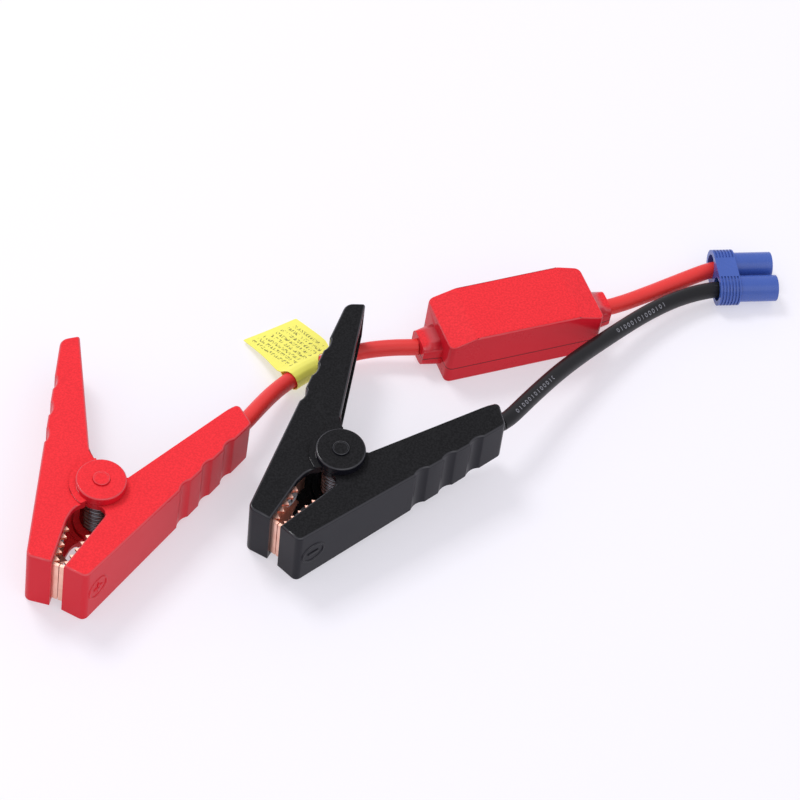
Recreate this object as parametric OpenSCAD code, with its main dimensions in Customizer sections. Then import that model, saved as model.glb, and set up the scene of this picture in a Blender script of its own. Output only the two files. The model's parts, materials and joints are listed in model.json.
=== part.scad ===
// Jumper clamp lead set: two spring clamps, an inline protection module and a two-pole plug, joined by
// short silicone leads.  Millimetres, +Z up, standing on z = 0.

/* [Clamp] */
// Height of a lever at the jaw tips
tip_height = 23.5; // [21:0.5:26]
// How much lower a lever is at the far end of its handle
handle_taper = 6.5; // [4:0.5:8]
// Distance from the pivot to the front of the jaws
tip_reach = 34.2; // [33:0.1:36]
// Half the gap between the two plastic tips
tip_gap = 2; // [1.6:0.1:2.4]
// Width of one lever at its front
tip_width = 7.9; // [7:0.1:9]
// Angle between a lever's outer side and the jaw line
flank_angle = 16.6; // [15:0.1:18]
// Thickness of the cheeks
cheek = 2; // [1.6:0.1:2.4]
// Thickness of the outer, front and rear walls
wall = 2.2; // [1.8:0.1:2.6]
// Radius of the pivot disc on the moving lever
disc_r = 7.9; // [7:0.1:8.2]
// Thickness of the upper pivot disc
disc_h = 3; // [2:0.1:3.5]
// Diameter of the pivot pin
pin_d = 5.4; // [4.6:0.1:6]
// Depth of the finger notches
notch_depth = 0.9; // [0.5:0.1:1.1]

/* [Jaws and spring] */
// Thickness of the copper sheet
copper = 1; // [0.8:0.1:1.2]
// Distance between two jaw teeth
tooth_pitch = 2.9; // [2.5:0.1:3.2]
// Height of a jaw tooth
tooth_h = 2.1; // [1:0.1:2.2]
// Diameter of the spring wire
wire_d = 1.5; // [1.2:0.1:1.8]
// Turns of the torsion spring
spring_turns = 7; // [5:1:8]

/* [Leads] */
// Outer diameter of the silicone cable
cable_d = 5.5; // [5:0.1:6]

/* [Module] */
// Length of the module without its two cable stubs
module_len = 55; // [52:0.5:58]
// Width of the module
module_w = 22.7; // [20:0.1:24]
// Height of the module
module_h = 20; // [18:0.5:22]
// Height of the seam between the two covers
seam_z = 6.6; // [6:0.1:8]
// Wall of the covers
cover_wall = 1.6; // [1.2:0.1:2]
// Length of a cable stub
stub_len = 6.3; // [6:0.1:9]

/* [Plug] */
// Distance between the two barrels
pole_pitch = 10.4; // [10:0.1:11]
// Diameter of a barrel
barrel_d = 9; // [8.6:0.1:9.4]
// Length of a barrel
barrel_len = 13.5; // [12:0.5:16]
// Height of the ribbed collar
collar_h = 11.2; // [10.8:0.1:11.6]
// Length of the ribbed collar
collar_len = 7.2; // [6.6:0.1:8]

/* [Hidden] */

// colours
red_plastic = "#e8323a";
black_plastic = "#1e1e20";
copper_colour = "#d98c63";
steel_colour = "#b9bcc0";
blue_plastic = "#4a5fbe";
brass_colour = "#d9b45a";

// places on the table: each clamp's pivot and heading, the module's and the plug's middle and heading
red_pivot = [-90.3, -64.1];
red_heading = -101;
red_pitch = 0;
black_pivot = [-19.5, -35.2];
black_heading = -117.5;
black_pitch = 4.2;
module_at = [26.8, 43.5];
module_heading = 28.8;
plug_at = [92.1, 84.1];
plug_heading = 16;

// clamp, seen from above with the pivot at the origin and the jaws along +X
slope = handle_taper / 2 / 85;
mid_z = tip_height / 2;
tip_inner = [tip_reach - 1, tip_gap];
tip_outer = [tip_reach, tip_gap + tip_width];
fixed_rear_outer = [-43.5, tip_outer.y + (tip_reach + 43.5) * tan(flank_angle)];
fixed_rear_inner = [-49.5, 26];
fixed_elbow = [-6.5, 6.4];
moving_rear_outer = [-49.8, tip_outer.y + (tip_reach + 49.8) * tan(flank_angle)];
moving_rear_inner = [-53.8, 30];
moving_bend = [-12.6, 9.2];
moving_elbow = [-7.6, 4.6];
seat_z = tip_height - slope * tip_reach;     // upper cheek's top at the pivot
floor_z = slope * tip_reach;                 // lower cheek's underside at the pivot
ear_gap = 0.3;
disc_z = seat_z + ear_gap;
low_disc_h = 2.1;
low_ear_z = low_disc_h + ear_gap;
clear_r = disc_r + 0.4;
ring_r = disc_r + 1.9;
pin_play = 0.05;

// cable's way through the fixed handle
lead_start = [-15, 17.8, mid_z];
lead_angle = 162;
lead_len = 33.3;

// copper jaws
jaw_z = [3, 19.4];
jaw_front = tip_reach - wall - 0.1;
jaw_back = 12;
web_y = 7;
teeth = 5;

// spring
coil_r = 5.2;
coil_z = [5.2, 18.6];
leg_len = 21;
leg_angle = 152;

module_mid = seam_z + 0.4;                   // height of the stubs' axis
slope_len = 9;
slope_drop = 3.2;
board_z = 3.4;
jacket_len = 14.5;

plug_z = collar_h / 2;
panel_w = 8.4;

// routes of the three free leads, chosen along the table
red_front_route = [[-52.8, -21.9, 11.75], [-51.5, -19.1, 11.6], [-50, -15.3, 11.1], [-48.5, -11.3, 10.2],
    [-46.9, -7.2, 9.2], [-45.1, -3, 8.1], [-43, 1.2, 7], [-40.5, 5.3, 6.1], [-37.5, 9.1, 5.5],
    [-34.2, 12.6, 5.2], [-30.6, 15.8, 5.2], [-26.7, 18.7, 5.4], [-22.5, 21.2, 5.7], [-18.1, 23.2, 6],
    [-13.5, 24.8, 6.3], [-9.2, 25.9, 6.7], [-5.8, 26.6, 6.9], [-2.8, 27.4, 7]];
red_rear_route = [[56.4, 59.8, 7], [58.9, 61.3, 6.9], [61.4, 63.1, 6.8], [64, 65.1, 6.6],
    [66.6, 67.3, 6.4], [69.2, 69.6, 6.1], [71.8, 71.9, 5.8], [74.4, 74.3, 5.5], [77, 76.6, 5.3],
    [79.6, 78.9, 5.1], [82.2, 81.2, 4.9], [84.8, 83.4, 4.8], [87.2, 85.4, 4.7], [89.5, 87.2, 4.6],
    [91.8, 88.6, 4.6], [94.1, 89.5, 4.6]];
black_route = [[28, -6.3, 17.8], [29.5, -4.6, 17.8], [31.1, -2.2, 17.7], [33.1, 1.5, 17.4],
    [35.5, 6.2, 16.8], [38.4, 11.7, 16], [41.6, 17.6, 15.1], [45, 23.5, 14.2], [48.6, 29.3, 13.2],
    [52.3, 35, 12.2], [56.2, 40.7, 11.1], [60.2, 46.4, 10.1], [64.3, 52.1, 9.1], [68.5, 57.6, 8.3],
    [72.8, 62.7, 7.6], [77.2, 67.4, 7], [81.6, 71.5, 6.4], [86, 74.8, 6], [90, 77.3, 5.7],
    [93.5, 79, 5.6], [96.8, 80, 5.6]];
cable_sides = 12;

label_w = 12.4;
label_at = [-38.3, 8.1, 5.7];
label_heading = 51.7;
label_pitch = 7;
label_t = 0.5;
// flag's outline: along the lead, and away from it
flag = [[-6.1, 3.4], [-3.4, 25.4], [16.3, 19.2], [16.1, 6.2], [6.1, 3.4]];
flag_dip = 13;

function dir(a) = [cos(a), sin(a)];
function cross2(a, b) = a.x * b.y - a.y * b.x;
function unit(v) = v / norm(v);
// the point where two walls meet, each moved inwards (to the left of its direction) by its own distance
function inset(a, b, c, d1, d2) =
    let (u = unit(b - a), v = unit(c - b), p = a + d1 * [-u.y, u.x], q = b + d2 * [-v.y, v.x])
    p + u * cross2(q - p, v) / cross2(u, v);
// an arc of radius r that rounds the corner b between a and c
function round_corner(a, b, c, r, n = 5) =
    let (u = unit(a - b), v = unit(c - b), half = acos(u * v) / 2, t = r / tan(half),
        m = b + unit(u + v) * r / sin(half), p = b + u * t - m, q = b + v * t - m,
        a0 = atan2(p.y, p.x), turn = atan2(cross2(p, q), p * q))
    [for (i = [0:n]) m + r * dir(a0 + turn * i / n)];
function top_z(x) = tip_height - slope * (tip_reach - x);
function edge_y(x) = tip_gap + (33.2 - x) * 0.163;     // inner edge of a jaw

// ---- sweep of a round cable along a route ----
function tangent(p, i) = unit(p[min(i + 1, len(p) - 1)] - p[max(i - 1, 0)]);
function ring(p, i, r, sides) =
    let (t = tangent(p, i), s = unit(cross([0, 0, 1], t)), u = cross(t, s))
    [for (k = [0:sides - 1]) p[i] + r * (cos(k * 360 / sides) * s + sin(k * 360 / sides) * u)];
module sweep(p, r, sides) {
    n = len(p);
    polyhedron(
        points = [for (i = [0:n - 1]) each ring(p, i, r, sides)],
        faces = concat(
            [[for (k = [0:sides - 1]) sides - 1 - k]],
            [for (i = [0:n - 2], k = [0:sides - 1])
                let (m = (k + 1) % sides)
                [i * sides + k, i * sides + m, (i + 1) * sides + m, (i + 1) * sides + k]],
            [[for (k = [0:sides - 1]) (n - 1) * sides + k]]),
        convexity = 6);
}

// ---- where things lie ----
module on_clamp(at, heading, pitch)
    translate([at.x, at.y, 0]) rotate([0, 0, heading])
        translate([0, 0, tip_reach * sin(pitch)]) rotate([0, pitch, 0]) children();
module on_red() on_clamp(red_pivot, red_heading, red_pitch) children();
module on_black() on_clamp(black_pivot, black_heading, black_pitch) children();
module on_module() translate([module_at.x, module_at.y, 0]) rotate([0, 0, module_heading]) children();
module on_plug() translate([plug_at.x, plug_at.y, plug_z]) rotate([0, 0, plug_heading]) children();

// ---- clamp ----
// solid between the upper and lower faces of a lever, inset by gap
module wedge(gap)
    rotate([90, 0, 0]) linear_extrude(100, center = true)
        polygon([[40, top_z(40) - gap], [-60, top_z(-60) - gap],
            [-60, tip_height - top_z(-60) + gap], [40, tip_height - top_z(40) + gap]]);

function fixed_outline() = concat(
    [tip_inner],
    round_corner(tip_inner, tip_outer, fixed_rear_outer, 2.2),
    round_corner(tip_outer, fixed_rear_outer, fixed_rear_inner, 2),
    round_corner(fixed_rear_outer, fixed_rear_inner, fixed_elbow, 1.5),
    [fixed_elbow, [-4, 2], [4, 1.4], [7.3, 1.8]],
    round_corner([7.3, 1.8], [8.4, 5.9], tip_inner, 2.6));
function moving_outline() = concat(
    [tip_inner],
    round_corner(tip_inner, tip_outer, moving_rear_outer, 2.2),
    round_corner(tip_outer, moving_rear_outer, moving_rear_inner, 3.6),
    round_corner(moving_rear_outer, moving_rear_inner, moving_bend, 0.8),
    round_corner(moving_rear_inner, moving_bend, moving_elbow, 7),
    [moving_elbow, [-4, 2], [7, 0.8]],
    round_corner([7, 0.8], [11.6, 4.1], [16.4, 4.3], 6),
    [[16.4, 4.3]]);

// the hollow of a lever: open towards the other lever
module hollow(rear_outer, rear_inner) {
    outer_front = [tip_reach - wall, tip_outer.y - wall / cos(flank_angle) + wall * tan(flank_angle)];
    outer_rear = inset(tip_outer, rear_outer, rear_inner, wall, wall);
    inner_rear = outer_rear + 12 * unit(rear_inner - rear_outer);
    intersection() {
        linear_extrude(tip_height)
            polygon([[tip_reach - wall, -20], outer_front, outer_rear, inner_rear, [inner_rear.x, -20]]);
        wedge(cheek);
    }
}

module finger_notches()
    for (x = [-11.5, -22, -32.5]) {
        r = 5;
        y = tip_outer.y + (tip_reach - x) * tan(flank_angle);
        translate([x, y] + (r - notch_depth) * dir(90 - flank_angle))
            cylinder(h = tip_height + 2, r = r, $fn = 64);
    }

// a boss on the outer wall that a jaw's screw bites into
module jaw_boss()
    intersection() {
        translate([17, web_y + copper, mid_z]) rotate([-90, 0, 0]) difference() {
            cylinder(h = 6.5, d = 6, $fn = 40);
            translate([0, 0, -1]) cylinder(h = 6, d = 2.4, $fn = 24);
        }
        linear_extrude(tip_height) polygon(fixed_outline());
    }

module lever_shell(outline, rear_outer, rear_inner) {
    difference() {
        intersection() {
            linear_extrude(tip_height) polygon(outline);
            wedge(0);
        }
        hollow(rear_outer, rear_inner);
        translate([0, 0, -1]) finger_notches();
    }
    jaw_boss();
}

module fixed_lever(tint) color(tint)
    difference() {
        union() {
            lever_shell(fixed_outline(), fixed_rear_outer, fixed_rear_inner);
            translate([0, 0, seat_z - cheek]) cylinder(h = cheek, r = disc_r, $fn = 96);
            translate([0, 0, low_ear_z]) cylinder(h = cheek, r = disc_r, $fn = 96);
            intersection() {
                translate([0, 0, low_ear_z]) cylinder(h = cheek, r = ring_r, $fn = 96);
                linear_extrude(tip_height) polygon(fixed_outline());
            }
        }
        translate([0, 0, seat_z]) cylinder(h = 5, r = clear_r, $fn = 96);
        translate([0, 0, -1]) cylinder(h = low_ear_z + 1, r = clear_r, $fn = 96);
        translate([0, 0, -1]) cylinder(h = tip_height, d = pin_d, $fn = 64);
        translate(lead_start) rotate([0, 90, lead_angle]) cylinder(h = 60, d = cable_d, $fn = 48);
    }

module moving_lever(tint) color(tint)
    mirror([0, 1, 0]) difference() {
        union() {
            lever_shell(moving_outline(), moving_rear_outer, moving_rear_inner);
            intersection() {
                union() {
                    translate([0, 0, seat_z - cheek]) cylinder(h = cheek + 1.2, r = ring_r, $fn = 96);
                    cylinder(h = floor_z + cheek, r = ring_r, $fn = 96);
                }
                linear_extrude(tip_height + 2) polygon(moving_outline());
            }
            translate([0, 0, disc_z]) cylinder(h = disc_h, r = disc_r, $fn = 96);
            cylinder(h = low_disc_h, r = disc_r, $fn = 96);
        }
        translate([0, 0, low_disc_h]) cylinder(h = disc_z - low_disc_h, r = clear_r, $fn = 96);
        translate([0, 0, -1]) cylinder(h = 40, d = pin_d + 2 * pin_play, $fn = 64);
    }

module pivot_pin(tint) color(tint)
    translate([0, 0, 0.3]) cylinder(h = disc_z + disc_h + 0.7, d = pin_d, $fn = 64);

// coil about the pivot, with a leg along each handle
module torsion_spring() {
    steps = 14;
    n = steps * spring_turns + 5;
    turn = 360 * spring_turns + 2 * (leg_angle - 90);
    coil = [for (i = [0:n])
        let (a = leg_angle - 90 - turn * i / n)
        [coil_r * cos(a), coil_r * sin(a), coil_z[0] + (coil_z[1] - coil_z[0]) * i / n]];
    fixed_leg = coil[0] + leg_len * [cos(leg_angle), sin(leg_angle), 0];
    moving_leg = coil[n] + leg_len * [cos(leg_angle), -sin(leg_angle), 0];
    color(steel_colour) sweep(concat([fixed_leg], coil, [moving_leg]), wire_d / 2, 8);
}

// copper channel with toothed edges, a plate across its front and a web behind the teeth
module jaw_sheet(strap) {
    for (z = jaw_z)
        translate([0, 0, z]) linear_extrude(copper) polygon(concat(
            [[jaw_front, web_y + copper], [jaw_back, web_y + copper], [jaw_back, edge_y(jaw_back) + 0.6]],
            [for (i = [0:teeth - 1], k = [0, 1])
                let (x = 16.6 + tooth_pitch * (i + k / 2)) [x, edge_y(x) + 0.3 - k * tooth_h]],
            [[16.6 + tooth_pitch * teeth, edge_y(16.6 + tooth_pitch * teeth) + 0.3],
                [jaw_front, edge_y(jaw_front) + 0.3]]));
    difference() {
        union() {
            translate([jaw_back, web_y, jaw_z[0]])
                cube([jaw_front - jaw_back, copper, jaw_z[1] - jaw_z[0] + copper]);
            translate([strap, web_y, mid_z - 5.5]) cube([jaw_back - strap + 1, copper, 11]);
        }
        translate([17, web_y - 1, mid_z]) rotate([-90, 0, 0]) cylinder(h = 3, d = 3.2, $fn = 32);
        if (strap < 0)
            translate([-1, web_y - 1, mid_z]) rotate([-90, 0, 0]) cylinder(h = 3, d = 4, $fn = 32);
    }
    translate([jaw_front - copper, 0.15, jaw_z[0]])
        cube([copper, web_y + copper - 0.15, jaw_z[1] - jaw_z[0] + copper]);
}
module fixed_jaw() color(copper_colour) jaw_sheet(-5);
module moving_jaw() color(copper_colour) mirror([0, 1, 0]) jaw_sheet(8);

module screw(head_d, head_h, shank_d, shank_len) color(steel_colour) {
    difference() {
        cylinder(h = head_h, d = head_d, $fn = 48);
        for (a = [0, 90]) rotate([0, 0, a])
            translate([-head_d * 0.3, -0.35, -1]) cube([head_d * 0.6, 0.7, 1 + head_h / 2]);
    }
    translate([0, 0, head_h]) cylinder(h = shank_len, d = shank_d, $fn = 32);
}
module jaw_screw()
    translate([17, web_y - 1.7, mid_z]) rotate([-90, 0, 0]) screw(5.6, 1.7, 2.4, copper + 4.5);
module lug_screw()
    translate([-1, web_y + 2 * copper + 2, mid_z]) rotate([90, 0, 0]) screw(6.6, 2, 4, 2 * copper + 0.3);

// ring terminal crimped on the end of the lead
module cable_lug() color(copper_colour) {
    difference() {
        union() {
            translate([-1, web_y + copper, mid_z]) rotate([-90, 0, 0]) cylinder(h = copper, d = 9, $fn = 48);
            translate([-6.5, web_y + copper, mid_z - 3.4]) cube([5.5, copper, 6.8]);
        }
        translate([-1, web_y, mid_z]) rotate([-90, 0, 0]) cylinder(h = 4, d = 4, $fn = 32);
    }
    hull() {
        translate([-7, web_y + copper, mid_z - 3.4]) cube([0.8, copper, 6.8]);
        translate(lead_start) rotate([0, 90, lead_angle + 180]) cylinder(h = 2, d = 7, $fn = 32);
    }
    translate(lead_start) rotate([0, 90, lead_angle]) difference() {
        cylinder(h = 9, d = 7.2, $fn = 48);
        translate([0, 0, 2]) cylinder(h = 8, d = cable_d, $fn = 48);
    }
}

// the stretch of lead inside the fixed handle
module inner_lead(tint) color(tint)
    translate(lead_start + 2 * [cos(lead_angle), sin(lead_angle), 0])
        rotate([0, 90, lead_angle]) cylinder(h = lead_len, d = cable_d, $fn = 48);

// ---- module ----
function module_top(x) = module_h - max(0, slope_drop * (abs(x) - module_len / 2 + slope_len) / slope_len);
module module_body(gap, r) {
    l = module_len / 2 - gap;
    w = module_w / 2 - gap;
    intersection() {
        linear_extrude(module_h) polygon([for (q = [[1, 1], [-1, 1], [-1, -1], [1, -1]])
            let (a0 = atan2(q.y, q.x) - 45)
            for (i = [0:4]) [q.x * (l - r), q.y * (w - r)] + r * dir(a0 + 22.5 * i)]);
        rotate([90, 0, 0]) linear_extrude(module_w, center = true) polygon([
            [-l, gap], [l, gap], [l, module_top(l + gap) - gap],
            [module_len / 2 - slope_len, module_h - gap], [slope_len - module_len / 2, module_h - gap],
            [-l, module_top(l + gap) - gap]]);
    }
}
module stub(side) {
    x = module_len / 2 - cover_wall;
    scale([side, 1, 1]) hull() {
        translate([x, 0, module_mid]) rotate([0, 90, 0]) stub_slice(11, 12);
        translate([module_len / 2 + stub_len - 0.4, 0, module_mid]) rotate([0, 90, 0]) stub_slice(9.5, 10);
    }
}
module stub_slice(a, b, r = 3)
    linear_extrude(0.4) for (i = [-1, 1], k = [-1, 1])
        translate([i * (a / 2 - r), k * (b / 2 - r)]) circle(r, $fn = 24);
module covers()
    difference() {
        union() {
            module_body(0, 2);
            for (side = [-1, 1]) stub(side);
        }
        module_body(cover_wall, 1);
        translate([-60, 0, module_mid]) rotate([0, 90, 0]) cylinder(h = 120, d = cable_d, $fn = 48);
    }
module module_top_cover() color(red_plastic)
    intersection() {
        covers();
        translate([-60, -30, seam_z]) cube([120, 60, 40]);
    }
module module_bottom_cover() color(red_plastic) {
    intersection() {
        covers();
        translate([-60, -30, -1]) cube([120, 60, seam_z + 1]);
    }
    for (x = [-14, 14], y = [-6, 6])
        translate([x, y, cover_wall - 0.1]) cylinder(h = board_z - cover_wall + 0.1, d = 3.6, $fn = 32);
}
module circuit_board() color("#1d6b3c")
    translate([-19, -8.4, board_z]) cube([38, 16.8, 1.6]);
module power_transistors() color("#2a2a2c")
    for (x = [-8.6, -1.4], y = [-4.2, 4.2])
        translate([x - 3, y - 3.2, board_z + 1.6]) cube([6, 6.4, 2.3]);
module controller_chip() color("#2a2a2c")
    translate([3.4, -6.4, board_z + 1.6]) cube([5, 4, 1.5]);
module capacitor() color("#3b3f58")
    translate([6.5, 3.4, board_z + 1.6]) cylinder(h = 7, d = 6, $fn = 48);
module terminal_tabs() color(copper_colour)
    for (side = [-1, 1])
        translate([side * 15.5 - 2.5, -3, board_z + 1.6]) cube([5, 6, 0.7]);
module module_leads() color(red_plastic)
    for (side = [-1, 1])
        translate([side * (module_len / 2 + stub_len), 0, module_mid])
            rotate([0, -side * 90, 0]) cylinder(h = jacket_len, d = cable_d, $fn = 48);
module lead_conductors() color(copper_colour)
    for (side = [-1, 1])
        translate([side * (module_len / 2 + stub_len - jacket_len), 0, module_mid])
            rotate([0, -side * 90, 0]) cylinder(h = 7, d = 2.6, $fn = 32);

// ---- plug ----
module stadium(h)
    for (s = [-1, 1]) {
        translate([0, s * pole_pitch / 2]) circle(d = h, $fn = 64);
        translate([0, s * pole_pitch / 4]) square([h, pole_pitch / 2], center = true);
    }
module pole(side) translate([0, side * pole_pitch / 2, 0]) rotate([0, 90, 0]) children();
module plug_housing() color(blue_plastic)
    difference() {
        union() {
            rotate([0, 90, 0]) linear_extrude(collar_len) stadium(collar_h - 1);
            translate([0, -panel_w / 2, -collar_h / 2]) cube([collar_len, panel_w, collar_h]);
            for (i = [0:6]) translate([i * (collar_len - 0.5) / 6, 0, 0])
                rotate([0, 90, 0]) linear_extrude(0.5) stadium(collar_h);
            for (s = [-1, 1]) translate([collar_len - 1, 0, 0])
                pole(s) cylinder(h = barrel_len + 1, d = barrel_d, $fn = 64);
        }
        for (s = [-1, 1]) pole(s) {
            translate([0, 0, -1]) cylinder(h = 4.5, d = 8, $fn = 64);
            translate([0, 0, 1]) cylinder(h = barrel_len + collar_len, d = 7, $fn = 64);
        }
    }
module contact() color(brass_colour)
    difference() {
        translate([0, 0, 3.5]) cylinder(h = collar_len + barrel_len - 5, d = 7, $fn = 64);
        translate([0, 0, collar_len + 0.6]) cylinder(h = 40, d = 5, $fn = 64);
    }

// ---- cables and label ----
module caution_label() color("#f4ee4a")
    translate(label_at) rotate([0, 0, label_heading]) {
        inner_r = cable_d / 2 + 0.6;
        rotate([0, 90 + label_pitch, 0]) translate([0, 0, -label_w / 2]) difference() {
            cylinder(h = label_w, r = inner_r + label_t, $fn = 48);
            translate([0, 0, -1]) cylinder(h = label_w + 2, r = inner_r, $fn = 48);
        }
        translate([0, 0, 0.8]) rotate([-flag_dip, 0, 0]) linear_extrude(label_t) polygon(flag);
    }

on_red() fixed_lever(red_plastic);  // red_fixed_lever
on_red() moving_lever(red_plastic);  // red_moving_lever
on_red() pivot_pin(red_plastic);  // red_pivot_pin
on_red() torsion_spring();  // red_torsion_spring
on_red() fixed_jaw();  // red_fixed_jaw
on_red() moving_jaw();  // red_moving_jaw
on_red() jaw_screw();  // red_fixed_jaw_screw
on_red() mirror([0, 1, 0]) jaw_screw();  // red_moving_jaw_screw
on_red() cable_lug();  // red_cable_lug
on_red() lug_screw();  // red_lug_screw
on_red() inner_lead(red_plastic);  // red_inner_lead
on_black() fixed_lever(black_plastic);  // black_fixed_lever
on_black() moving_lever(black_plastic);  // black_moving_lever
on_black() pivot_pin(black_plastic);  // black_pivot_pin
on_black() torsion_spring();  // black_torsion_spring
on_black() fixed_jaw();  // black_fixed_jaw
on_black() moving_jaw();  // black_moving_jaw
on_black() jaw_screw();  // black_fixed_jaw_screw
on_black() mirror([0, 1, 0]) jaw_screw();  // black_moving_jaw_screw
on_black() cable_lug();  // black_cable_lug
on_black() lug_screw();  // black_lug_screw
on_black() inner_lead(black_plastic);  // black_inner_lead
on_module() module_top_cover();
on_module() module_bottom_cover();
on_module() circuit_board();
on_module() power_transistors();
on_module() controller_chip();
on_module() capacitor();
on_module() terminal_tabs();
on_module() module_leads();
on_module() lead_conductors();
on_plug() plug_housing();
on_plug() pole(1) contact();  // positive_contact
on_plug() pole(-1) contact();  // negative_contact
color(red_plastic) sweep(red_front_route, cable_d / 2, cable_sides);  // red_cable_front
color(red_plastic) sweep(red_rear_route, cable_d / 2, cable_sides);  // red_cable_rear
color(black_plastic) sweep(black_route, cable_d / 2, cable_sides);  // black_cable
caution_label();
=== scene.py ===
import bpy
import bmesh
import json
import math
from mathutils import Matrix, Vector


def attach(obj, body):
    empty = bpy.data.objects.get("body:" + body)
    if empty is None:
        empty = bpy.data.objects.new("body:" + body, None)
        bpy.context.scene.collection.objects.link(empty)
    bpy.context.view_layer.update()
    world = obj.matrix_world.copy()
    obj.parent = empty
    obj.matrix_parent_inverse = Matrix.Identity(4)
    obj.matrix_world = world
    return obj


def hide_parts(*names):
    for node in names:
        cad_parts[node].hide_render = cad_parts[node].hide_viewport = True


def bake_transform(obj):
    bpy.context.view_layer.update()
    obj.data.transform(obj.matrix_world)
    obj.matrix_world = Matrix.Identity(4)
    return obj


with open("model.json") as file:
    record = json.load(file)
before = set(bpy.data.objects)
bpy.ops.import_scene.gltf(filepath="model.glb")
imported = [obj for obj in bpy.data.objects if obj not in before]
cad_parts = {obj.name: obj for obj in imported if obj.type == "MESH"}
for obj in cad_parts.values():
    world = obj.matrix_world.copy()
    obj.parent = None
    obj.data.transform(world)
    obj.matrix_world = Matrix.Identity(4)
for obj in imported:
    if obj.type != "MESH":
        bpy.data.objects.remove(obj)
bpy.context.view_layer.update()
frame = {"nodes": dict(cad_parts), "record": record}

# Jumper clamp lead set: finishes, softened mouldings, springs, marks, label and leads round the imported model.
# Shapes are drawn in millimetres and put in place, in metres, by a matrix.
MM = 0.001

# ---------------------------------------------------------------- camera
CAMERA_TARGET = Vector((-5.2, 9.6, 0)) * MM
CAMERA_DISTANCE = 1.0
CAMERA_ELEVATION = math.radians(50.81)
CAMERA_ROLL = math.radians(10.9)
LENS = 137.4
SENSOR = 36


def make_camera():
    camera = bpy.data.objects.new("camera", bpy.data.cameras.new("camera"))
    bpy.context.scene.collection.objects.link(camera)
    bpy.context.scene.camera = camera
    camera.data.lens = LENS
    camera.data.sensor_width = SENSOR
    camera.data.clip_start = 0.01
    camera.data.clip_end = 20
    forward = Vector((0, math.cos(CAMERA_ELEVATION), -math.sin(CAMERA_ELEVATION)))
    right = Vector((1, 0, 0))
    up = right.cross(forward)
    side = right * math.cos(CAMERA_ROLL) + up * math.sin(CAMERA_ROLL)
    top = up * math.cos(CAMERA_ROLL) - right * math.sin(CAMERA_ROLL)
    turn = Matrix((side, top, -forward)).transposed()
    camera.matrix_world = Matrix.Translation(CAMERA_TARGET - forward * CAMERA_DISTANCE) @ turn.to_4x4()


make_camera()

# ---------------------------------------------------------------- free leads, millimetres
CABLE_D = 5.5
RED_FRONT_ROUTE = [
    (-52.8, -21.9, 11.75), (-51.5, -19.1, 11.6), (-50, -15.3, 11.1), (-48.5, -11.3, 10.2),
    (-46.9, -7.2, 9.2), (-45.1, -3, 8.1), (-43, 1.2, 7), (-40.5, 5.3, 6.1), (-37.5, 9.1, 5.5),
    (-34.2, 12.6, 5.2), (-30.6, 15.8, 5.2), (-26.7, 18.7, 5.4), (-22.5, 21.2, 5.7), (-18.1, 23.2, 6),
    (-13.5, 24.8, 6.3), (-9.2, 25.9, 6.7), (-5.8, 26.6, 6.9), (-2.8, 27.4, 7)]
RED_REAR_ROUTE = [
    (56.4, 59.8, 7), (58.9, 61.3, 6.9), (61.4, 63.1, 6.8), (64, 65.1, 6.6), (66.6, 67.3, 6.4),
    (69.2, 69.6, 6.1), (71.8, 71.9, 5.8), (74.4, 74.3, 5.5), (77, 76.6, 5.3), (79.6, 78.9, 5.1),
    (82.2, 81.2, 4.9), (84.8, 83.4, 4.8), (87.2, 85.4, 4.7), (89.5, 87.2, 4.6), (91.8, 88.6, 4.6),
    (94.1, 89.5, 4.6)]
BLACK_ROUTE = [
    (28, -6.3, 17.8), (29.5, -4.6, 17.8), (31.1, -2.2, 17.7), (33.1, 1.5, 17.4), (35.5, 6.2, 16.8),
    (38.4, 11.7, 16), (41.6, 17.6, 15.1), (45, 23.5, 14.2), (48.6, 29.3, 13.2), (52.3, 35, 12.2),
    (56.2, 40.7, 11.1), (60.2, 46.4, 10.1), (64.3, 52.1, 9.1), (68.5, 57.6, 8.3), (72.8, 62.7, 7.6),
    (77.2, 67.4, 7), (81.6, 71.5, 6.4), (86, 74.8, 6), (90, 77.3, 5.7), (93.5, 79, 5.6), (96.8, 80, 5.6)]


def link(name, data):
    obj = bpy.data.objects.new(name, data)
    bpy.context.scene.collection.objects.link(obj)
    return obj


def round_bar(points, radius, smooth):
    """The mesh of a round bar along points, in metres: one smooth bend, or straight from one to the next."""
    data = bpy.data.curves.new("bar", "CURVE")
    data.dimensions = "3D"
    data.bevel_depth = radius
    data.bevel_resolution = 8 if smooth else 4
    data.resolution_u = 6
    data.use_fill_caps = True
    line = data.splines.new("NURBS" if smooth else "POLY")
    line.points.add(len(points) - 1)
    for point, place in zip(line.points, points):
        point.co = (*place, 1)
    if smooth:
        line.order_u = 3
        line.use_endpoint_u = True
    bar = link("bar", data)
    mesh = bpy.data.meshes.new_from_object(bar.evaluated_get(bpy.context.evaluated_depsgraph_get()))
    bpy.data.objects.remove(bar)
    bpy.data.curves.remove(data)
    return mesh


def free_lead(name, node, route):
    mesh = round_bar([Vector(place) * MM for place in route], CABLE_D / 2 * MM, True)
    mesh.shade_smooth()
    mesh.set_sharp_from_angle(angle=math.radians(60))
    obj = link(name, mesh)
    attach(obj, "root")
    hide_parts(node)
    return obj


red_front = free_lead("red_front_lead", "red_cable_front", RED_FRONT_ROUTE)
red_rear = free_lead("red_rear_lead", "red_cable_rear", RED_REAR_ROUTE)
black_lead = free_lead("black_lead", "black_cable", BLACK_ROUTE)

# ---------------------------------------------------------------- places of the parts
record = frame["record"]
mounts = {mount["name"]: mount for mount in record["mounts"]}
hinges = {joint["name"]: joint for joint in record["behaviour"]["joints"]}


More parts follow.
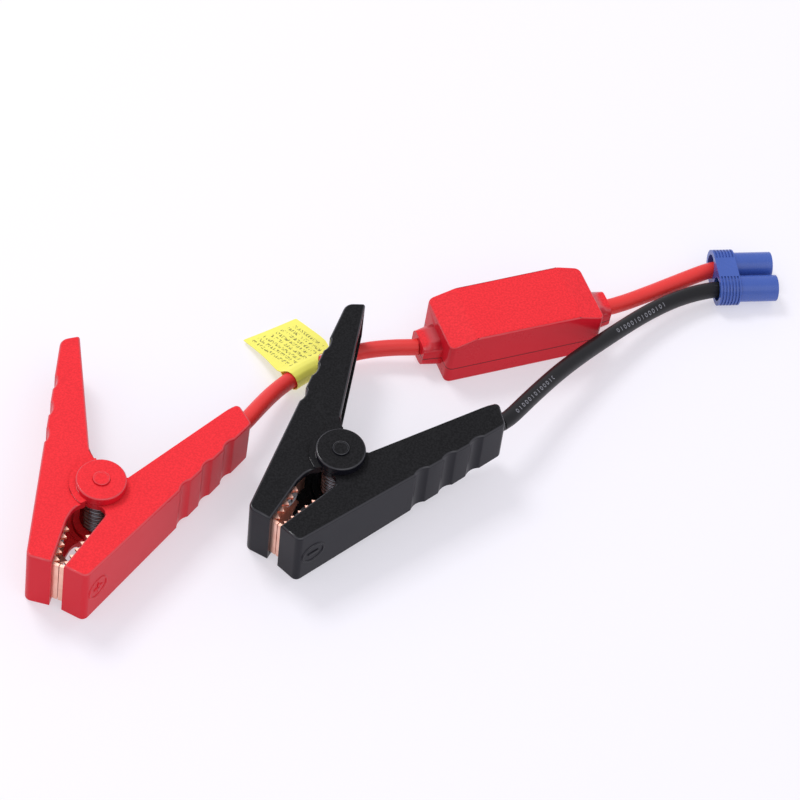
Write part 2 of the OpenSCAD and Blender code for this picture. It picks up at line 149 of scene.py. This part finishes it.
def placing(origin, x_axis, z_axis):
    """The matrix that puts something drawn in millimetres at origin, with its axes along the given ones."""
    x, z = Vector(x_axis).normalized(), Vector(z_axis).normalized()
    turn = Matrix((x, z.cross(x), z)).transposed().to_4x4()
    return Matrix.Translation(Vector(origin)) @ turn @ Matrix.Scale(MM, 4)


def clamp_place(colour):
    hinge = hinges[colour + "_clamp_hinge"]
    return placing(hinge["pos_m"], mounts[colour + "_jaws"]["axis"], -Vector(hinge["axis"]))


CLAMPS = {"red": clamp_place("red"), "black": clamp_place("black")}
MODULE_HEADING = math.radians(28.8)
MODULE = placing(mounts["module_underside"]["pos_m"],
                 (math.cos(MODULE_HEADING), math.sin(MODULE_HEADING), 0), (0, 0, 1))
PLUG = placing((Vector(mounts["positive_socket"]["pos_m"]) + Vector(mounts["negative_socket"]["pos_m"])) / 2,
               mounts["positive_socket"]["axis"], (0, 0, 1))

# clamp, in its own millimetres: pivot at the origin, jaws along +X, standing on z = 0
TIP_HEIGHT = 23.5
TIP_REACH = 34.2
CLAMP_LEN = 85
HANDLE_TAPER = 6.5
SLOPE = HANDLE_TAPER / 2 / CLAMP_LEN
FLANK = math.radians(16.6)
TIP_OUTER_Y = 9.9
MID_Z = TIP_HEIGHT / 2
DISC_R = 7.9
DISC_H = 3.3
DISC_TOP = TIP_HEIGHT - SLOPE * TIP_REACH + DISC_H
PIVOT_ZONE = 10
PIN_R = 2.7
PIN_PROUD = 0.7

# module, in its own millimetres: centred, its length along X, standing on z = 0
MODULE_LEN = 55
MODULE_TOP = 20
MODULE_INSIDE_Y = 9.2
MODULE_INSIDE_X = MODULE_LEN / 2 - 1.9
SLOPE_LEN = 9
SLOPE_FOOT = MODULE_TOP - 3.4
SEAM_Z = 6.6
SEAM_HALF = 0.22

# label around the red lead, millimetres
LABEL_AT = (-38.3, 8.1, 5.7)
LABEL_HEADING = math.radians(51.7)


# ---------------------------------------------------------------- shader sockets with arithmetic
class Wire:
    """A socket of a material's node tree. Sums on it add maths nodes."""

    def __init__(self, tree, socket=None):
        self.tree = tree
        self.socket = socket

    def feed(self, target, value):
        if isinstance(value, Wire):
            self.tree.links.new(value.socket, target)
            return
        if isinstance(value, (tuple, list)) and target.type == "RGBA" and len(value) == 3:
            value = (*value, 1)
        target.default_value = value

    def node(self, kind, settings, sockets, out=0):
        made = self.tree.nodes.new(kind)
        for name, value in settings.items():
            setattr(made, name, value)
        for name, value in sockets.items():
            self.feed(made.inputs[name], value)
        return Wire(self.tree, made.outputs[out])

    def sum(self, operation, *values):
        return self.node("ShaderNodeMath", {"operation": operation}, dict(enumerate(values)))

    def __add__(self, other):
        return self.sum("ADD", self, other)

    def __sub__(self, other):
        return self.sum("SUBTRACT", self, other)

    def __rsub__(self, other):
        return self.sum("SUBTRACT", other, self)

    def __mul__(self, other):
        return self.sum("MULTIPLY", self, other)

    def __truediv__(self, other):
        return self.sum("DIVIDE", self, other)

    def __rtruediv__(self, other):
        return self.sum("DIVIDE", other, self)

    def __gt__(self, other):
        return self.sum("GREATER_THAN", self, other)

    def __lt__(self, other):
        return self.sum("LESS_THAN", self, other)

    __radd__ = __add__
    __rmul__ = __mul__


def within(value, low, high):
    return (value > low) * (value < high)


def ramp(value, low, high):
    return value.node("ShaderNodeMapRange", {}, {"Value": value, "From Min": low, "From Max": high})


def blend(factor, a, b):
    return factor.node("ShaderNodeMix", {"data_type": "RGBA"}, {0: factor, 6: a, 7: b}, 2)


def object_place(wire):
    return wire.node("ShaderNodeTexCoord", {}, {}, "Object")


def facing_up(wire):
    normal = wire.node("ShaderNodeTexCoord", {}, {}, "Normal")
    return wire.node("ShaderNodeSeparateXYZ", {}, {0: normal}, "Z")


def noise(wire, place, scale, detail=2.0):
    """Even noise from 0 to 1, with scale in patches per unit of place."""
    return wire.node("ShaderNodeTexNoise", {}, {"Vector": place, "Scale": scale, "Detail": detail}, "Fac")


def combined(wire, x, y, z):
    return wire.node("ShaderNodeCombineXYZ", {}, {"X": x, "Y": y, "Z": z})


def shaded(colour, share):
    """The colour with that share of its light."""
    return [c * share for c in colour]


def turned(wire, origin, heading, stretch=(1, 1, 1)):
    """Object coordinates seen from origin, in millimetres, turned to heading, and drawn out by stretch."""
    scale = [MM * s for s in stretch]
    return wire.node("ShaderNodeMapping", {"vector_type": "TEXTURE"},
                     {"Vector": object_place(wire), "Location": Vector(origin) * MM,
                      "Rotation": (0, 0, heading), "Scale": scale})


def split(place):
    return [place.node("ShaderNodeSeparateXYZ", {}, {0: place}, axis) for axis in "XYZ"]


def bump(height, depth, strength=1.0):
    """A normal from height, which is depth millimetres deep."""
    sockets = {"Height": height, "Distance": depth * MM, "Strength": strength}
    return height.node("ShaderNodeBump", {}, sockets, "Normal")


def finish(name, recipe, fixed=None):
    """A material: recipe gives what changes over the surface, fixed what doesn't."""
    material = bpy.data.materials.new(name)
    material.use_nodes = True
    shader = material.node_tree.nodes["Principled BSDF"]
    wire = Wire(material.node_tree)
    for socket, value in {**recipe(wire), **(fixed or {})}.items():
        wire.feed(shader.inputs[socket], value)
    return material


# ---------------------------------------------------------------- finishes
def grained_plastic(name, top, side, grain=0.06, rough=0.3, size=1700, fleck=0.35, glint=0.55, coat=0.22,
                    edge=0.24, flats=(0.95, 0.985), seam=False):
    """Injection moulding: spark-eroded grain on flats, polished flanks with painted light, painted highlight on
    edges.

    grain is the depth of the grain in millimetres, and size its patches per metre. fleck is how strongly
    it shows in the colour, as the top colour times glint. flats is how squarely a face looks up where the
    grain starts, and where it is full.
    """
    def recipe(wire):
        place = object_place(wire)
        flat = ramp(facing_up(wire), *flats)
        rim = ramp(facing_up(wire), 0.2, 0.5) * (1 - flat)
        fine = noise(wire, place, size, 3)
        coarse = noise(wire, place, 90, 2)
        specks = ramp(fine, 0.38, 0.62) * flat * fleck
        # The flanks take side, a colour with painted light in it: painted shade on red, painted lilac
        # reflection on black.
        colour = blend(specks, blend(flat, side, top), shaded(top, glint))
        colour = blend(coarse * 0.12, colour, shaded(side, 0.8))
        if seam:
            height = split(place)[2]
            line = within(height, (SEAM_Z - SEAM_HALF) * MM, (SEAM_Z + SEAM_HALF) * MM)
            colour = blend(line * 0.8, colour, shaded(side, 0.12))
        # Painted highlight: the rounded edges are lightened towards a paler top colour, as strongly as edge.
        colour = blend(rim * edge, colour, [c * 0.8 + 0.16 for c in top])
        return {"Base Color": colour,
                "Roughness": rough + flat * 0.24 + coarse * 0.08 + fine * 0.05,
                "Coat Weight": (1 - flat) * coat + rim * (1 - coat),
                "Normal": bump(fine * (flat * 0.97 + 0.03), grain)}
    return finish(name, recipe, {"IOR": 1.15, "Coat Roughness": 0.14})


MARK_PITCH = 1.75
MARK_HALF = 0.66


def printed_marks(wire, start, heading, length, side):
    """A row of rings and bars from start, side millimetres to its left."""
    along, across, _ = split(turned(wire, start, heading))
    step = along / MARK_PITCH
    off = (step.sum("FRACT", step) - 0.5) * MARK_PITCH
    rise = across - side
    reach = off.sum("SQRT", off * off * 1.5 + rise * rise)
    ring = within(reach, 0.42, MARK_HALF)
    bar = off.sum("ABSOLUTE", off) < 0.12
    is_bar = (step.sum("FRACT", step * 0.5) > 0.5) * (step.sum("FRACT", step / 3) > 0.34)
    mark = ring * (1 - is_bar) + bar * is_bar
    row = within(along, 0, length) * within(rise, -MARK_HALF, MARK_HALF)
    return row * mark * (facing_up(wire) > 0.1)


def silicone(name, colour, marks=()):
    """Soft extruded jacket, with light printed marks along the given stretches."""
    def recipe(wire):
        place = object_place(wire)
        fine = noise(wire, place, 900, 3)
        shade = blend(noise(wire, place, 70) * 0.5, colour, shaded(colour, 0.75))
        for stretch in marks:
            shade = blend(printed_marks(wire, *stretch) * 0.55, shade, (0.45, 0.45, 0.5))
        return {"Base Color": shade, "Roughness": 0.34 + fine * 0.12, "Normal": bump(fine, 0.02)}
    return finish(name, recipe, {"Specular IOR Level": 0.35})


BRUSH = (1, 14, 14)


def sheet_metal(name, bright, dull, rough):
    """Pressed or drawn metal with fine lines and slight tarnish."""
    def recipe(wire):
        lines = noise(wire, turned(wire, (0, 0, 0), 0, BRUSH), 2.2, 4)
        stain = ramp(noise(wire, object_place(wire), 220, 4), 0.35, 0.75)
        return {"Base Color": blend(stain * 0.6, bright, dull),
                "Roughness": rough + lines * 0.14 + stain * 0.1,
                "Normal": bump(lines, 0.03, 0.5)}
    return finish(name, recipe, {"Metallic": 1.0})


def plain_moulding(name, colour, rough, depth=0.02):
    """Smooth nylon or epoxy with a fine skin and slightly uneven colour."""
    def recipe(wire):
        fine = noise(wire, object_place(wire), 1200, 3)
        broad = noise(wire, object_place(wire), 120, 2)
        return {"Base Color": blend(broad * 0.6, colour, shaded(colour, 0.7)),
                "Roughness": rough + fine * 0.1, "Normal": bump(fine, depth)}
    return finish(name, recipe)


def solder_mask():
    """Green board with lighter copper tracks under the lacquer."""
    def recipe(wire):
        x, y, _ = split(turned(wire, MODULE.translation / MM, MODULE_HEADING))
        wide = noise(wire, turned(wire, (0, 0, 0), MODULE_HEADING, (9, 1.5, 9)), 1.3, 0)
        track = within(wide, 0.46, 0.54)
        pads = within(x.sum("PINGPONG", x, 4.0), 0, 0.5) * within(y.sum("PINGPONG", y, 3.0), 0, 0.5)
        shade = blend(track, (0.015, 0.13, 0.045), (0.06, 0.3, 0.1))
        return {"Base Color": blend(pads, shade, (0.7, 0.7, 0.66)), "Roughness": 0.28 + pads * 0.1,
                "Normal": bump(track, 0.04)}
    return finish("solder_mask", recipe)


LINE_PITCH = 2.15


def label_vinyl():
    """Yellow vinyl with rows of generic dark ticks where the small print would be."""
    def recipe(wire):
        x, y, _ = split(turned(wire, LABEL_AT, LABEL_HEADING))
        line = x / LINE_PITCH
        across_line = line.sum("FRACT", line)
        line_number = line.sum("FLOOR", line)
        words = noise(wire, combined(wire, line_number * 9.7, y * 0.9, 0.0), 1.0, 0) > 0.36
        strokes = noise(wire, combined(wire, x * 0.9, y * 1.9, 3.0), 1.0, 1) > 0.53
        area = within(x, -2.6, 14.8) * within(y, 3.6, 22.6 - x.sum("MAXIMUM", x, 0.0) * 0.28)
        print_mask = area * within(across_line, 0.2, 0.8) * words * strokes * (facing_up(wire) > 0.3)
        creases = noise(wire, object_place(wire), 130, 3)
        paper = blend(creases * 0.35, (0.98, 0.93, 0.16), (0.9, 0.82, 0.08))
        return {"Base Color": blend(print_mask * 0.78, paper, (0.07, 0.06, 0.02)),
                "Roughness": 0.38 + creases * 0.12 + print_mask * 0.1,
                "Normal": bump(creases, 0.25, 0.6)}
    return finish("label_vinyl", recipe)


def black_lead_stretch(first, last, length, side):
    """Where a row of marks lies: from one point of the black lead's route towards another."""
    start, end = BLACK_ROUTE[first], BLACK_ROUTE[last]
    return start, math.atan2(end[1] - start[1], end[0] - start[0]), length, side


# The side colours are painted light: for the red, a darker and bluer painted shade; for the black, a bluer
# painted lilac reflection.
RED = (0.95, 0.04, 0.05)
RED_SIDE_PAINTED_SHADE = (0.68, 0.012, 0.026)
BLACK = (0.009, 0.009, 0.0095)
BLACK_SIDE_PAINTED_REFLECTION = (0.009, 0.009, 0.0135)
BLACK_MARKS = [black_lead_stretch(2, 6, 22, -1), black_lead_stretch(11, 15, 24, -1)]
FINISHES = {
    "red_plastic": grained_plastic("red_plastic", RED, RED_SIDE_PAINTED_SHADE),
    "black_plastic": grained_plastic("black_plastic", BLACK, BLACK_SIDE_PAINTED_REFLECTION,
                                     rough=0.26, glint=3.6, coat=0.14, edge=0.1),
    "module_plastic": grained_plastic("module_plastic", RED, RED_SIDE_PAINTED_SHADE, grain=0.08, rough=0.22,
                                      size=1500, fleck=0.42, flats=(0.72, 0.9), seam=True),
    "blue_plastic": plain_moulding("blue_nylon", (0.055, 0.12, 0.46), 0.22),
    "copper": sheet_metal("copper_plate", (0.95, 0.58, 0.46), (0.75, 0.36, 0.26), 0.26),
    "gold": sheet_metal("gold_plate", (0.95, 0.75, 0.35), (0.8, 0.55, 0.2), 0.16),
    # Spring steel darkened as painted shade, for the shade inside the clamp where the spring sits.
    "spring_steel": sheet_metal("spring_steel", (0.26, 0.26, 0.28), (0.12, 0.12, 0.13), 0.2),
    # Screw zinc plate darkened as painted shade, for the shade inside the clamps where the screws sit.
    "screw_steel": sheet_metal("zinc_plate_painted_shade", (0.4, 0.4, 0.42), (0.22, 0.22, 0.22), 0.3),
    "red_silicone": silicone("red_silicone", (0.88, 0.045, 0.04)),
    "black_silicone": silicone("black_silicone", (0.007, 0.007, 0.008), BLACK_MARKS),
    "board_green": solder_mask(),
    "chip_black": plain_moulding("chip_epoxy", (0.02, 0.02, 0.022), 0.42, 0.05),
    "sleeve_grey": plain_moulding("sleeve_grey", (0.05, 0.06, 0.1), 0.25),
    "label_yellow": label_vinyl(),
}

for part in record["subparts"]:
    cad = frame["nodes"][part["node"]]
    cad.data.materials.clear()
    cad.data.materials.append(FINISHES[part["material_slot"]])
for lead, slot in ((red_front, "red_silicone"), (red_rear, "red_silicone"), (black_lead, "black_silicone")):
    lead.data.materials.clear()
    lead.data.materials.append(FINISHES[slot])


# ---------------------------------------------------------------- softened mouldings
def piece(name, bm, slot, body, nodes, material=None, sharp=38.0):
    """A finished piece from bm, in metres, that stands for the given CAD nodes."""
    mesh = bpy.data.meshes.new(name)
    bm.to_mesh(mesh)
    bm.free()
    mesh.shade_smooth()
    mesh.set_sharp_from_angle(angle=math.radians(sharp))
    mesh.materials.append(material or FINISHES[slot])
    obj = link(name, mesh)
    if body:
        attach(obj, body)
    if nodes:
        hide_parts(*nodes)
    return obj


def even_shading(obj):
    weighted = obj.modifiers.new("even_shading", "WEIGHTED_NORMAL")
    weighted.keep_sharp = True


NEAR = 0.03


def merged_copy(node, place):
    """The node's mesh, merged, with flats made whole, in the millimetres of the part it belongs to."""
    bm = bmesh.new()
    bm.from_mesh(frame["nodes"][node].data)
    bm.transform(place.inverted())
    bmesh.ops.remove_doubles(bm, verts=bm.verts, dist=0.004)
    bmesh.ops.dissolve_limit(bm, angle_limit=math.radians(1), use_dissolve_boundaries=False,
                             verts=bm.verts, edges=bm.edges, delimit={"NORMAL"})
    return bm


def round_edges(bm, wanted, radius, segments=3, over=35):
    """Rounds the edges that bend more than over degrees and whose two ends are wanted."""
    edges = [edge for edge in bm.edges
             if edge.calc_face_angle(0) > math.radians(over) and all(wanted(v.co) for v in edge.verts)]
    if edges:
        bmesh.ops.bevel(bm, geom=edges, affect="EDGES", offset=radius, offset_type="OFFSET",
                        segments=segments, profile=0.5, material=-1, clamp_overlap=False)


def upper_face(x):
    return TIP_HEIGHT - SLOPE * (TIP_REACH - x)


def away_from_pivot(co):
    return math.hypot(co.x, co.y) > PIVOT_ZONE


def on_disc_rim(co):
    return abs(math.hypot(co.x, co.y) - DISC_R) < 0.08 and abs(co.z - DISC_TOP) < NEAR


def on_upper_edge(co):
    return abs(co.z - upper_face(co.x)) < NEAR and away_from_pivot(co)


def on_lower_edge(co):
    return abs(co.z - (TIP_HEIGHT - upper_face(co.x))) < NEAR and away_from_pivot(co)


def lever(colour, kind, body):
    node = f"{colour}_{kind}_lever"
    bm = merged_copy(node, CLAMPS[colour])
    round_edges(bm, on_disc_rim, 0.6, 4)
    round_edges(bm, on_upper_edge, 0.75)
    round_edges(bm, on_lower_edge, 0.5, 2)
    bm.transform(CLAMPS[colour])
    even_shading(piece(node + "_moulding", bm, colour + "_plastic", body, [node]))


def spun(profile, place, steps=64):
    """A turned solid from (radius, height) points about the part's Z axis."""
    bm = bmesh.new()
    verts = [bm.verts.new((r, 0, z)) for r, z in profile]
    edges = [bm.edges.new(pair) for pair in zip(verts, verts[1:])]
    bmesh.ops.spin(bm, geom=verts + edges, cent=(0, 0, 0), axis=(0, 0, 1), angle=math.tau, steps=steps,
                   use_merge=True)
    bmesh.ops.remove_doubles(bm, verts=bm.verts, dist=0.001)
    bmesh.ops.recalc_face_normals(bm, faces=bm.faces)
    bm.transform(place)
    return bm


def pivot_pin(colour):
    """Pin with a flat, slightly dished end that stands out of the disc."""
    top = DISC_TOP + PIN_PROUD
    profile = [(0, 0.3), (2.4, 0.3), (PIN_R, 0.6), (PIN_R, top - 0.35), (2.62, top - 0.12), (2.42, top),
               (2.1, top), (2, top - 0.08), (0, top - 0.1)]
    node = colour + "_pivot_pin"
    turned_pin = spun(profile, CLAMPS[colour])
    even_shading(piece(node + "_turned", turned_pin, colour + "_plastic", "root", [node], sharp=30))


SPRING_WIRE_R = 0.75
COIL_R = 5.2
COIL_LOW = 5.2
COIL_HIGH = 18.6
COIL_TURNS = 7
COIL_STEPS = 147
END_TURN = 0.9
LEG_LEN = 21
LEG_ANGLE = 152


def coil_spring(colour):
    """Torsion spring: the lower leg lies in the fixed handle, the upper one in the moving handle."""
    first = LEG_ANGLE - 90
    sweep = 360 * COIL_TURNS + 2 * first
    points = []
    for i in range(COIL_STEPS + 1):
        part = i / COIL_STEPS
        angle = math.radians(first - sweep * part)
        height = COIL_LOW + (COIL_HIGH - COIL_LOW) * part
        points.append(Vector((COIL_R * math.cos(angle), COIL_R * math.sin(angle), height)))
    out = math.radians(LEG_ANGLE)
    points.insert(0, points[0] + LEG_LEN * Vector((math.cos(out), math.sin(out), 0)))
    points.append(points[-1] + LEG_LEN * Vector((math.cos(out), -math.sin(out), 0)))
    mesh = round_bar([CLAMPS[colour] @ point for point in points], SPRING_WIRE_R * MM, False)
    bm = bmesh.new()
    bm.from_mesh(mesh)
    bpy.data.meshes.remove(mesh)
    node = colour + "_torsion_spring"
    spring = piece(node + "_wire", bm, "spring_steel", None, [node], sharp=70)
    colour + "_moving"
    CLAMPS[colour] @ Vector((0, 0, COIL_LOW + END_TURN))
    CLAMPS[colour] @ Vector((0, 0, COIL_HIGH - END_TURN))
    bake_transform(spring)


MARK_REACH = 28.4
MARK_RING = [(3.6, -0.3), (3.6, 0.12), (3.7, 0.26), (3.85, 0.3),
             (4.15, 0.3), (4.3, 0.26), (4.4, 0.12), (4.4, -0.3)]
MINUS = [(4, 1)]
PLUS = [(4, 1), (1, 4)]
BAR_H = 0.56


def polarity_mark(colour):
    """Raised ring with a plus or minus on the fixed lever's outer side, near the jaws."""
    outward = Vector((math.sin(FLANK), math.cos(FLANK), 0))
    along = Vector((math.cos(FLANK), -math.sin(FLANK), 0))
    side_y = TIP_OUTER_Y + (TIP_REACH - MARK_REACH) * math.tan(FLANK)
    turn = Matrix((along, outward.cross(along), outward)).transposed().to_4x4()
    place = Matrix.Translation((MARK_REACH, side_y, MID_Z)) @ turn
    bm = spun(MARK_RING, place, 56)
    for length, width in PLUS if colour == "red" else MINUS:
        bar = bmesh.new()
        bmesh.ops.create_cube(bar, size=1, matrix=place @ Matrix.Diagonal((length, width, BAR_H, 1)))
        bmesh.ops.bevel(bar, geom=bar.edges, affect="EDGES", offset=0.12, segments=2, profile=0.5,
                        material=-1)
        mesh = bpy.data.meshes.new("bar")
        bar.to_mesh(mesh)
        bar.free()
        bm.from_mesh(mesh)
        bpy.data.meshes.remove(mesh)
    bm.transform(CLAMPS[colour])
    piece(colour + "_polarity_mark", bm, colour + "_plastic", "root", [])


for clamp_colour in CLAMPS:
    lever(clamp_colour, "fixed", "root")
    lever(clamp_colour, "moving", clamp_colour + "_moving")
    pivot_pin(clamp_colour)
    coil_spring(clamp_colour)
    polarity_mark(clamp_colour)


# ---------------------------------------------------------------- module covers and plug
def on_outside(co):
    return abs(co.y) > MODULE_INSIDE_Y or abs(co.x) > MODULE_INSIDE_X


def on_crease(co):
    """Where the top bends down to a sloped end."""
    return abs(co.z - MODULE_TOP) < NEAR and abs(abs(co.x) - (MODULE_LEN / 2 - SLOPE_LEN)) < NEAR


def on_top_edge(co):
    return co.z > SLOPE_FOOT and abs(co.x) < MODULE_LEN / 2 + NEAR and on_outside(co)


def on_foot_edge(co):
    return co.z < NEAR and on_outside(co)


def cover(node, roundings):
    bm = merged_copy(node, MODULE)
    for rounding in roundings:
        round_edges(bm, *rounding)
    bm.transform(MODULE)
    even_shading(piece(node + "_moulding", bm, "red_plastic", "root", [node], FINISHES["module_plastic"]))


cover("module_top_cover", [(on_crease, 0.9, 2, 12), (on_top_edge, 0.5)])
cover("module_bottom_cover", [(on_foot_edge, 0.6, 2)])


def on_wire_side(co):
    return abs(co.x) < NEAR


def plug():
    bm = merged_copy("plug_housing", PLUG)
    round_edges(bm, on_wire_side, 0.3, 2)
    bm.transform(PLUG)
    even_shading(piece("plug_moulding", bm, "blue_plastic", "root", ["plug_housing"]))


plug()


# ---------------------------------------------------------------- caution label
# The sheet's run, seen along the lead as (left, up): from inside the flag, under the lead, round it, and out
# as the flag. Left and right are how far the sheet reaches along the lead at each of those points.
LABEL_RUN = [(5, -0.25), (3.5, -1.5), (1.8, -3), (0, -3.4), (-1.7, -2.95), (-2.95, -1.7), (-3.4, 0),
             (-2.95, 1.7), (-1.7, 2.95), (0, 3.4), (1.7, 3), (3, 2), (4, 0.9), (5.4, 0.2), (8.5, -0.6),
             (12, -1.6), (16, -2.6), (20, -3.6), (25, -4.8)]
LABEL_LEFT = [-5.2] * 9 + [-5.3, -5.5, -5.8, -6.1, -6.3, -5.6, -4.7, -4, -3.6, -3.3]
LABEL_RIGHT = [5, 4.6, 4.2, 3.8, 3.4, 3.4, 3.6, 4.2, 5.2, 6.6,
               8.2, 10.2, 12.8, 15.4, 16.8, 17.1, 17.1, 17.1, 17]
LABEL_THICK = 0.22
FLAG_START = 0.6
FLAG_SLANT = 4
FLAG_CURL = 3.6
LEAD_BEND = 90
LEAD_TILT = -0.12


def at_step(values, t):
    """The value part way along a list, with t from 0 to 1."""
    place = t * (len(values) - 1)
    i = min(int(place), len(values) - 2)
    return values[i] + (values[i + 1] - values[i]) * (place - i)


def caution_label():
    """The vinyl sheet: a grid that is run round the lead and out into a flag."""
    bm = bmesh.new()
    bmesh.ops.create_grid(bm, x_segments=20, y_segments=72, size=0.5)
    ys, zs = zip(*LABEL_RUN)
    for vert in bm.verts:
        run, along = vert.co.y + 0.5, vert.co.x + 0.5
        left, right = at_step(LABEL_LEFT, run), at_step(LABEL_RIGHT, run)
        x = left + (right - left) * along
        bend = x * x / LEAD_BEND * min(1, max(0, (0.8 - run) * 6))
        slant = FLAG_SLANT * along * max(0, run - FLAG_START) / (1 - FLAG_START)
        tilt = LEAD_TILT * x * min(1, (1 - run) / 0.35)
        curl = FLAG_CURL * max(0, run - 0.75) * (along - 0.35) ** 2
        vert.co = (x, at_step(ys, run) - bend - slant, at_step(zs, run) + tilt + curl)
    bmesh.ops.smooth_vert(bm, verts=bm.verts, factor=0.5, use_axis_x=True, use_axis_y=True, use_axis_z=True)
    bmesh.ops.recalc_face_normals(bm, faces=bm.faces)
    bmesh.ops.solidify(bm, geom=bm.faces, thickness=LABEL_THICK)
    heading = Vector((math.cos(LABEL_HEADING), math.sin(LABEL_HEADING), 0))
    bm.transform(placing(Vector(LABEL_AT) * MM, heading, (0, 0, 1)))
    return piece("caution_label_sheet", bm, "label_yellow", "root", ["caution_label"], sharp=50)


label = caution_label()


# ---------------------------------------------------------------- studio
def light_table(wire):
    """White table, hardly uneven, that gives off a little light of its own."""
    return {"Base Color": blend(noise(wire, object_place(wire), 3), (0.45, 0.44, 0.47), (0.47, 0.46, 0.49))}


def make_floor():
    bm = bmesh.new()
    bmesh.ops.create_grid(bm, x_segments=1, y_segments=1, size=3)
    mesh = bpy.data.meshes.new("floor")
    bm.to_mesh(mesh)
    bm.free()
    mesh.materials.append(finish("light_table", light_table, {
        "Roughness": 0.6, "Emission Color": (0.96, 0.945, 1.0), "Emission Strength": 0.5}))
    link("floor", mesh)


def lamp(name, place, size, power):
    data = bpy.data.lights.new(name, "AREA")
    data.size = size
    data.energy = power
    obj = link(name, data)
    obj.location = place
    obj.rotation_mode = "QUATERNION"
    obj.rotation_quaternion = (-Vector(place)).to_track_quat("-Z", "Y")


def make_world():
    world = bpy.data.worlds.new("world")
    bpy.context.scene.world = world
    world.use_nodes = True
    background = world.node_tree.nodes["Background"]
    background.inputs["Color"].default_value = (0.93, 0.92, 1.0, 1)
    background.inputs["Strength"].default_value = 0.72
    bpy.context.scene.view_settings.view_transform = "Standard"


make_floor()
lamp("key", (-0.7, 0.6, 1.4), 0.5, 11)
lamp("fill", (0.5, -0.9, 1.2), 1.2, 3)
make_world()
